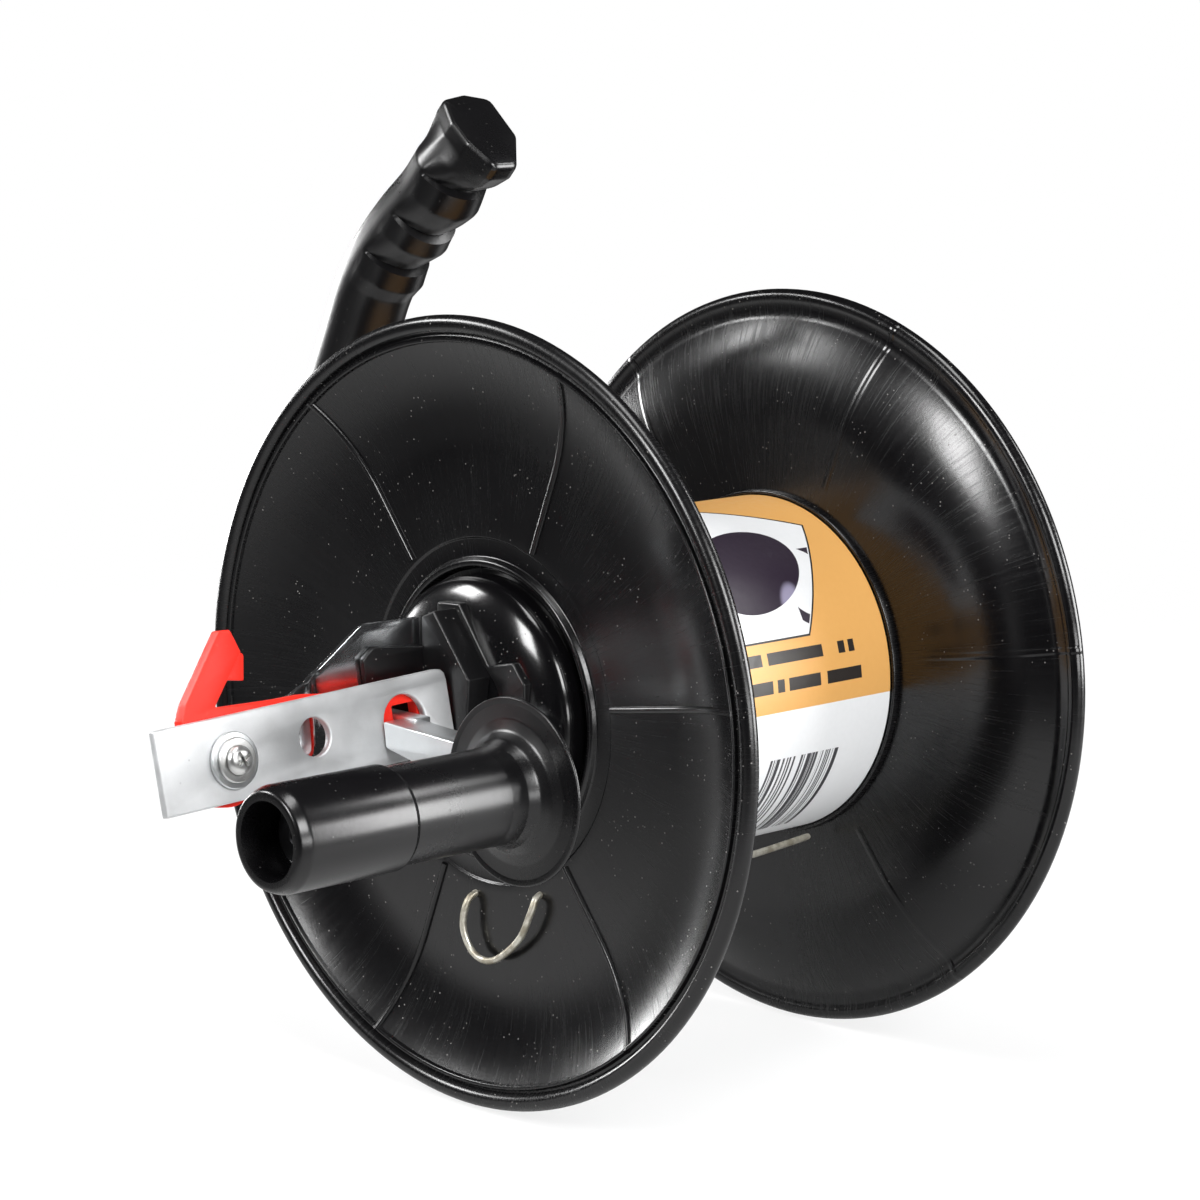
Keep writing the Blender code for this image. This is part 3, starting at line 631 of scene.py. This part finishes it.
def makeLatchScrew():
    top = plate["front"] + 0.3
    s = screw
    washer = softened([(top, 2.5), (top, s["washer"]), (top + s["washerThick"], s["washer"]),
                       (top + s["washerThick"], 2.5)], 0.35)
    turnedOnPivot("latchWasher", washer, armZinc, ["latch_washer"])
    low = top + s["washerThick"] + 0.3
    lock = softened([(low, 2.5), (low, s["lock"]), (low + s["lockThick"], s["lock"] - 0.2), (low + s["lockThick"], 2.5)],
                    0.3)
    turnedOnPivot("lockWasher", lock, screwSteel, ["lock_washer"])
    head = low + s["lockThick"] + 0.3
    dome = [(head + s["rise"] * sin(a), s["head"] * cos(a) ** 0.5) for a in (radians(10 * i) for i in range(9))]
    body = [(-8, 0), (-8, s["shank"]), (head, s["shank"]), (head, s["head"] - 0.3), *dome, (head + s["rise"], 0)]
    piece = turnedOnPivot("latchScrew", body, screwSteel, ["latch_screw"], False)
    recess = bmesh.new()
    turn = latchSpace @ Matrix.Rotation(radians(s["slotTurn"]), 4, "Z")
    for long, wide in ((s["slot"], s["slotWide"]), (s["slotWide"], s["slot"])):
        boxInto(recess, (-long * mm, -wide * mm, (head + 0.9) * mm), (long * mm, wide * mm, (head + 6) * mm), turn, 0)
        carved(piece, recess)
        recess = bmesh.new()
    recess.free()


makeLatchScrew()
print("strap and screw made")

block = dict(outer=-94, middle=-84.5, foot=-76, edge=0.7)


def makeBlock():
    sideSpace = reelSpace @ Matrix.Rotation(pi / 2, 4, "Z") @ Matrix.Rotation(pi / 2, 4, "X")
    outer = softened([(6, 34.5), (0, 37), (-17, 16), (-16, 2), (-11, -9), (6, -9)], 0.8)
    lower = softened([(9, 38), (-2, 38.5), (-16.5, 19.5), (-28, 22), (-33.5, 15.5), (-33.5, -6), (-12, -16),
                      (9, -16)], 1.0)
    edge = block["edge"] * mm
    work = flatInto(bmesh.new(), scaled(outer), block["outer"] * mm, (block["middle"] + 1.5) * mm, sideSpace, (), edge)
    flatInto(work, scaled(lower), block["middle"] * mm, block["foot"] * mm, sideSpace, (), edge)
    facing = reelSpace @ Matrix.Rotation(pi / 2, 4, "X")
    wall = softened([(-91, 24.1), (-115.4, 26.5, 2.5), (-120, 23.1, 2), (-118, 12), (-118, -8), (-91, -8)], 1)
    flatInto(work, scaled(wall), -7.4 * mm, -5.2 * mm, facing, (), 0.4 * mm)
    finishPiece("crankBlock", work, "spool", blockPlastic, ["crank_block"])


makeBlock()

crank = dict(face=-125, thick=2.7, deep=12.4, drop=3.6)


def makeArm():
    sideSpace = reelSpace @ Matrix.Rotation(pi / 2, 4, "Z") @ Matrix.Rotation(pi / 2, 4, "X")
    hub = (knobAt.y / mm, knobAt.z / mm)
    web = [(-11.6, -2.8, 1.2), (-10.4, 5.7, 0.8), *arcPoints(hub, 9, 80, 280, 22)]
    work = flatInto(bmesh.new(), scaled(softened(web, 0.6)), crank["face"] * mm,
                    (crank["face"] + crank["thick"]) * mm, sideSpace, [scaled(ringPoints(hub, 4.3))], 0.4 * mm)
    tilt = reelSpace @ Matrix.Translation((0, -10.8 * mm, 5.7 * mm)) @ Matrix.Rotation(radians(crank["drop"]), 4, "X")
    boxInto(work, ((crank["face"] + 0.5) * mm, -52 * mm, -2.4 * mm), ((crank["face"] + crank["deep"]) * mm, 0.3 * mm, 0.02 * mm),
            tilt, 0.5 * mm)
    boxInto(work, (midX - 116.3 * mm, -16 * mm, -0.5 * mm), (midX - 109.5 * mm, 4.9 * mm, 6.2 * mm), Matrix(), 0.5 * mm)
    finishPiece("crankArm", work, "spool", armZinc, ["crank_arm"])


makeArm()

knob = dict(guard=-128.5, guardRadius=29.8, back=-125.6, end=-226.1, shank=15.2, gripRadius=16.4, stepAt=-181.5,
            hollow=11.8, hollowDeep=14, bore=4.3)


def makeKnob():
    k = knob
    neck = [(k["guard"] - out, r) for out, r in ((0.7, 23), (2.0, 19.4), (4.4, 17), (8, 15.8), (14, 15.3))]
    outside = softened([(k["back"], 25, 0.3), (k["guard"] + 0.5, k["guardRadius"], 0.5),
                        (k["guard"] - 0.7, k["guardRadius"] - 0.1, 0.6), (k["guard"] - 0.4, 27.6, 0.8),
                        *[(x, r, 3) for x, r in neck], (k["stepAt"] + 1.6, k["shank"], 0.6),
                        (k["stepAt"] - 0.4, k["gripRadius"], 0.8), (k["end"] + 4, k["gripRadius"], 4),
                        (k["end"], 14.9, 3), (k["end"] + 0.2, k["hollow"] + 0.3, 0.8)], 0.3, False)
    inside = softened([(k["end"] + 2, k["hollow"], 0.3), (k["end"] + k["hollowDeep"], 11, 0.6),
                       (k["end"] + k["hollowDeep"], k["bore"], 0.3), (k["back"], k["bore"])], 0.3, False)
    outline = [(midX + x * mm, r * mm) for x, r in [*outside, *inside]]
    work = spunInto(bmesh.new(), outline, True, 120, (knobAt.y, knobAt.z))
    finishPiece("crankKnob", work, "knob", knobPlastic, ["crank_knob"])
    tip = k["end"] + k["hollowDeep"] - 0.3
    pin = [(tip + 1, 0), (tip + 1, 2.2), (tip - 2.6, 2.4), (tip - 3, 2.8), (tip - 2.2, 8.6), (tip, 10), (tip, 4),
           (-111, 4), (-111, 0)]
    work = spunInto(bmesh.new(), [(midX + x * mm, r * mm) for x, r in pin], False, 64, (knobAt.y, knobAt.z))
    finishPiece("knobSpindle", work, "spool", blackSteel, ["knob_spindle"])


makeKnob()
print("block, arm and knob made")

tieWire = dict(radius=1.2 * mm, points=[
    (-50, 6, -64.2), (-62, 6.5, -63.7), (-70.5, 6.6, -63.7), (-74, 7.3, -67.5), (-74.6, 7.7, -76), (-74, 2.7, -83.6),
    (-74.4, -7.3, -83.6), (-74.6, -19.8, -74.3), (-74.2, -25.6, -63.5), (-70.6, -25.3, -58.8), (-60, -25.3, -58.9),
    (-30, -26.6, -60.9), (0, -27.4, -61.6), (30, -27.5, -61), (52, -27, -59.8), (60, -26.5, -59.4)])


def makeTieWire():
    route = smoothRoute([Vector(p) * mm + Vector((midX, 0, 0)) for p in tieWire["points"]], 1.5 * mm)
    finishPiece("tieWire", tubeInto(bmesh.new(), route, tieWire["radius"], 4), "spool", wireFinish, ["tie_wire"])


makeTieWire()

# frame: side arm, grip and axle
sideArm = dict(radius=11.5 * mm, boss=24 * mm, bossFrom=73 * mm, intoGrip=0.6 * mm, route=[
    (97, 0, 0), (97, 60, 7), (97, 112, 14), (95, 145, 19), (82, 170, 27), (52, 181, 38), (22, 176, 52), (5, 167, 70),
    (0, 159, 87)])
grip = dict(half=14.5 * mm, facing=(0, -0.66, 0.75), ridgeFrom=19 * mm, ridgeLong=21.4 * mm, bulge=1.5 * mm,
            valley=-3.4 * mm, cap=[(-5, -19.6), (6.5, -19.4), (16.8, -4.2), (17.2, 15.9), (6, 18.7), (-5, 16.4),
                                   (-9.2, 4), (-9.2, -6.9)], route=[
    (157.4, 91.2), (147, 113), (138.8, 130.4), (128.9, 143.7), (117.4, 155.1), (103.5, 166.4), (94, 176.5),
    (82.5, 188.8)])


def makeSideArm():
    shift = Vector((midX, 0, 0))
    route = smoothRoute([Vector(p) * mm + shift for p in sideArm["route"]], 3 * mm)
    start, after = [Vector((midX, y * mm, z * mm)) for y, z in grip["route"][:2]]
    route.append(start + (after - start).normalized() * sideArm["intoGrip"])   # so the grip sits on the arm
    work = tubeInto(bmesh.new(), route, sideArm["radius"], 8)
    boss = softened([(midX + sideArm["bossFrom"], 6.4 * mm, 0.2 * mm), (midX + sideArm["bossFrom"], sideArm["boss"]),
                     (0, sideArm["boss"]), (0, 0)], 1.2 * mm, False)
    spunInto(work, [*boss, (midX + 104.3 * mm, 0), (midX + 104.3 * mm, 6.4 * mm)], False, 96)
    finishPiece("sideArm", work, "frame", armPlastic, ["frame_arm"])


def reachOf(outline, direction):
    # how far the outline lies from its middle in a direction
    best = 0
    for a, b in zip(outline, outline[1:] + outline[:1]):
        edge = b - a
        flatness = direction.x * edge.y - direction.y * edge.x
        if abs(flatness) > 1e-9:
            far = (a.x * edge.y - a.y * edge.x) / flatness
            share = (a.x * direction.y - a.y * direction.x) / flatness
            if far > 0 and -1e-6 <= share <= 1 + 1e-6:
                best = max(best, far)
    return best


def fingerRidge(fromEnd):
    # three shelves that step back toward the pommel
    g = grip
    count = (fromEnd - g["ridgeFrom"]) / g["ridgeLong"]
    if count < 0:
        return g["valley"] * max(0, 1 + count * 2.5)
    phase = 1 - count % 1
    if count > 3:
        return 0
    height = (g["valley"] + (g["bulge"] - g["valley"]) * (phase / 0.6) ** 0.8 if phase < 0.6
              else g["bulge"] * (1 - phase) / 0.4)
    return height if count < 2.4 else g["bulge"] * max(0, 1 - (count - 2.4) * 3)


def makeGrip():
    # a round handle with finger ridges on its inner side, which widens into a faceted pommel
    g = grip
    route = smoothRoute([Vector((midX, y * mm, z * mm)) for y, z in g["route"]], 0.8 * mm)
    facing = Vector(g["facing"]).normalized()
    cap = softened([(u * mm, v * mm) for u, v in g["cap"]], 3 * mm)
    lengths = [0.0]
    for a, b in zip(route, route[1:]):
        lengths.append(lengths[-1] + (b - a).length)
    work, loops, count = bmesh.new(), [], 96
    for i, (spot, far) in enumerate(zip(route, lengths)):
        fromEnd = lengths[-1] - far
        along = (route[min(i + 1, len(route) - 1)] - route[max(i - 1, 0)]).normalized()
        along = along.lerp(facing, max(0, 1 - fromEnd / (18 * mm))).normalized()
        outward = along.cross(Vector((1, 0, 0))).normalized()
        flare = max(0.0, min(1.0, 1 - (fromEnd - 4.5 * mm) / (13 * mm)))
        loop = []
        for k in range(count):
            turn = Vector((cos(2 * pi * k / count), sin(2 * pi * k / count)))
            reach = g["half"]
            if turn.y < 0:
                reach += fingerRidge(fromEnd) * min(1, -turn.y * 1.35) ** 0.8
            reach += (reachOf(cap, turn) - reach) * flare
            loop.append(work.verts.new(spot + Vector((1, 0, 0)) * reach * turn.x + outward * reach * turn.y))
        loops.append(loop)
    middle, rim = route[-1], [v.co.copy() for v in loops[-1]]
    for inset, rise in ((0.985, 0.9), (0.95, 1.7), (0.90, 2.1), (0.5, 2.3)):
        loops.append([work.verts.new(middle + facing * rise * mm + (spot - middle) * inset) for spot in rim])
    for a, b in zip(loops, loops[1:]):
        for k in range(count):
            work.faces.new((a[k], a[(k + 1) % count], b[(k + 1) % count], b[k]))
    work.faces.new(loops[0])
    work.faces.new(loops[-1])
    finishPiece("pistolGrip", work, "frame", gripPlastic, ["pistol_grip"], 28)


makeSideArm()
makeGrip()
print("frame made")

for node, finish in (("axle", axleSteel), ("axle_pin", axleSteel), ("axle_washer", mattZinc), ("axle_nut", mattZinc),
                     ("thrust_washer", nylon), ("near_bushing", bronze), ("far_bushing", bronze),
                     ("grip_screw", screwSteel), ("arm_pin", screwSteel), ("spindle_nut", mattZinc),
                     ("latch_nut", mattZinc)):
    frame["nodes"][node].data.materials.clear()
    frame["nodes"][node].data.materials.append(finish.material)
for number in (1, 2, 3):
    for node in (f"tie_bolt_{number}", f"tie_nut_{number}"):
        frame["nodes"][node].data.materials.clear()
        frame["nodes"][node].data.materials.append(screwSteel.material)

# room, light and camera
floorWork = bmesh.new()
bmesh.ops.create_grid(floorWork, x_segments=1, y_segments=1, size=14,
                      matrix=Matrix.Translation((0, 4, -rimRadius - 1 * mm)))
floorData = bpy.data.meshes.new("floor")
floorWork.to_mesh(floorData)
floorWork.free()
floor = bpy.data.objects.new("floor", floorData)
bpy.context.scene.collection.objects.link(floor)
paper = Finish("paleFloor", Roughness=0.7)
x, y, z = paper.axes()
distance = (x * x + y * y).math("SQRT")
# painted pool of light: the floor's own colour is grey near the reel and near black farther out, seen only by
# reflections and bounce light; the camera sees a white glow that rises with distance, so the floor looks evenly white
paper.put(Base_Color=paper.blend(distance.ease(0.35, 0.75), (0.5, 0.5, 0.5), (0.03, 0.03, 0.03)))
glow = paper.node("ShaderNodeEmission", {}, {"Color": (1, 1, 1), "Strength": 1.0})
matt = paper.node("ShaderNodeBsdfDiffuse", {}, {"Color": (0.9, 0.9, 0.9)})
glowing = paper.node("ShaderNodeMixShader", {}, {0: distance.ease(0.2, 1.1, 0.72, 1.0), 1: Wire(paper, matt.outputs[0]),
                                                  2: Wire(paper, glow.outputs[0])})
seenBy = paper.node("ShaderNodeLightPath", {}, {})
paper.node("ShaderNodeMixShader", {}, {0: Wire(paper, seenBy.outputs["Is Camera Ray"]),
                                       1: Wire(paper, paper.shader.outputs[0]), 2: Wire(paper, glowing.outputs[0])})
paper.tree.links.new(paper.tree.nodes[-1].outputs[0], paper.tree.nodes["Material Output"].inputs[0])
floor.data.materials.append(paper.material)

studio = dict(roomLight=0.03, far=1.75, lamps=[
    ("left", (-0.87, 0.07, 0.47), (0.4, 0.55), 19), ("behind", (0.08, 1.0, 0.06), (1.1, 0.4), 26),
    ("backLeft", (-0.50, 0.70, 0.52), (0.5, 0.4), 17), ("over", (-0.15, -0.1, 1.0), (0.5, 0.9), 14),
    ("front", (-0.25, -0.85, 0.5), (0.6, 0.6), 20), ("right", (0.72, -0.70, 0.12), (0.9, 1.0), 44),
    ("rightOver", (0.69, -0.40, 0.60), (0.4, 0.4), 6), ("lowFront", (-0.1, -1.0, 0.06), (1.0, 0.3), 10)])
bpy.context.scene.view_settings.view_transform = "Standard"
world = bpy.data.worlds.new("studio")
bpy.context.scene.world = world
world.use_nodes = True
tree = world.node_tree
room, seen, either, path = (tree.nodes["Background"], tree.nodes.new("ShaderNodeBackground"),
                            tree.nodes.new("ShaderNodeMixShader"), tree.nodes.new("ShaderNodeLightPath"))
room.inputs[0].default_value = seen.inputs[0].default_value = (1, 1, 1, 1)
room.inputs[1].default_value, seen.inputs[1].default_value = studio["roomLight"], 1.0
tree.links.new(path.outputs["Is Camera Ray"], either.inputs[0])
tree.links.new(room.outputs[0], either.inputs[1])
tree.links.new(seen.outputs[0], either.inputs[2])
tree.links.new(either.outputs[0], tree.nodes["World Output"].inputs[0])

for name, spot, size, power in studio["lamps"]:
    light = bpy.data.lights.new(name, "AREA")
    light.shape, light.size, light.size_y, light.energy = "RECTANGLE", *size, power
    lamp = bpy.data.objects.new(name, light)
    away = Vector(spot).normalized() * studio["far"]
    lamp.location = Vector((midX, 0, 0)) + away
    lamp.rotation_euler = (-away).to_track_quat("-Z", "Y").to_euler()
    bpy.context.scene.collection.objects.link(lamp)

view = dict(location=(-0.86185 + midX, -0.87354, 0.23173), turn=-44.018, lift=9.340, lens=107.47)
camera = bpy.data.objects.new("camera", bpy.data.cameras.new("camera"))
camera.data.lens, camera.data.sensor_width = view["lens"], 36
camera.location = view["location"]
camera.rotation_euler = (radians(90 - view["lift"]), 0, radians(view["turn"]))
bpy.context.scene.collection.objects.link(camera)
bpy.context.scene.camera = camera
print("room, light and camera set")
